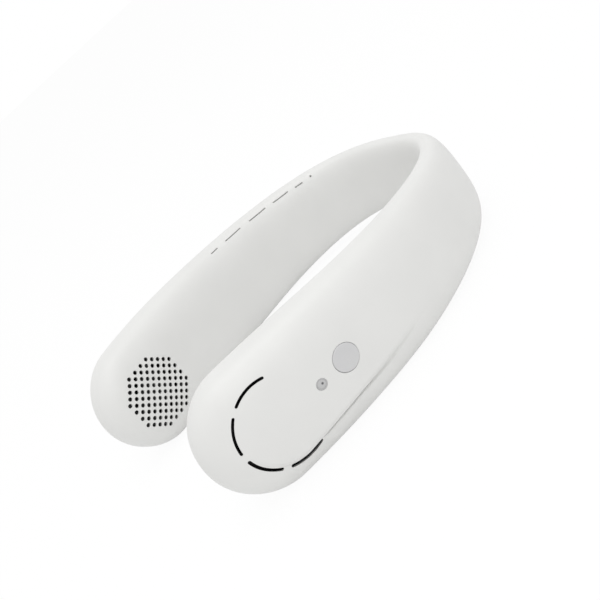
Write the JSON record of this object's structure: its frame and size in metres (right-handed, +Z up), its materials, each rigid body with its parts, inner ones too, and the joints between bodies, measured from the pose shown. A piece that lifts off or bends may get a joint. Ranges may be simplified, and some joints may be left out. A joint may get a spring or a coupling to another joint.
{
  "type": "neck fan",
  "caption": "Rigid horseshoe neck fan with a blower in each front pod, curved intake slots, round-hole grilles, air outlets along the top, a power button and a charging port.",
  "frame": {"origin": "under the middle of the whole fan, on the plane that it rests on", "axes": "+Z up as worn, -Y towards the open front where the pods are, +X towards the wearer's left arm, which carries the button"},
  "size_m": [0.1664, 0.1958, 0.0556],
  "materials": {
    "shell_plastic": "satin moulded",
    "button_plastic": "satin moulded",
    "lens_plastic": "clear moulded, smoky",
    "dark_plastic": "moulded",
    "white_plastic": "moulded",
    "foam": "closed-cell foam",
    "steel": "plated",
    "electrical_steel": "stacked laminations",
    "ferrite": "sintered",
    "bronze": "sintered, oil-filled",
    "copper": "enamelled wire",
    "circuit_board": "solder mask",
    "chip_black": "moulded epoxy",
    "cell_foil": "laminated pouch foil",
    "wire_red": "wire insulation",
    "wire_black": "wire insulation",
    "wire_blue": "wire insulation"
  },
  "bodies": {
    "frame": {"outer_shell": "shell_plastic", "inner_shell": "shell_plastic", "fan_base_left": "dark_plastic", "fan_base_right": "dark_plastic", "fan_cover_left": "dark_plastic", "fan_cover_right": "dark_plastic", "fan_seal_left": "foam", "fan_seal_right": "foam", "fan_screws_left": "steel", "fan_screws_right": "steel", "sleeve_bearing_left": "bronze", "sleeve_bearing_right": "bronze", "stator_core_left": "electrical_steel", "stator_core_right": "electrical_steel", "stator_coils_left": "copper", "stator_coils_right": "copper", "motor_board_left": "circuit_board", "motor_board_right": "circuit_board", "air_guide_left": "white_plastic", "air_guide_right": "white_plastic", "battery_left": "cell_foil", "battery_right": "cell_foil", "battery_pads_left": "foam", "battery_pads_right": "foam", "main_board": "circuit_board", "board_chips": "chip_black", "board_screws": "steel", "usb_shell": "steel", "usb_tongue": "dark_plastic", "switch_body": "steel", "light_lens": "lens_plastic", "indicator_led": "white_plastic", "wire_red": "wire_red", "wire_black": "wire_black", "wire_blue": "wire_blue", "motor_lead": "wire_blue"},
    "rotor_left": {"impeller_left": "dark_plastic", "rotor_cup_left": "steel", "magnet_ring_left": "ferrite", "motor_shaft_left": "steel"},
    "rotor_right": {"impeller_right": "dark_plastic", "rotor_cup_right": "steel", "magnet_ring_right": "ferrite", "motor_shaft_right": "steel"},
    "button": {"button_cap": "button_plastic", "switch_plunger": "dark_plastic"}
  },
  "joints": [
    {"name": "rotor_left_spin", "type": "hinge", "parent": "frame", "child": "rotor_left", "pos_m": [0.0605, -0.07008, 0.02765], "axis": [0.9659, -0.2588, 0], "continuous": true},
    {"name": "rotor_right_spin", "type": "hinge", "parent": "frame", "child": "rotor_right", "pos_m": [-0.0605, -0.07008, 0.02765], "axis": [-0.9659, -0.2588, 0], "continuous": true},
    {"name": "button_press", "type": "slide", "parent": "frame", "child": "button", "axis": [-0.99, 0.1407, 0], "range_m": [0, 0.0005], "stiffness_N_per_m": 2500}
  ]
}
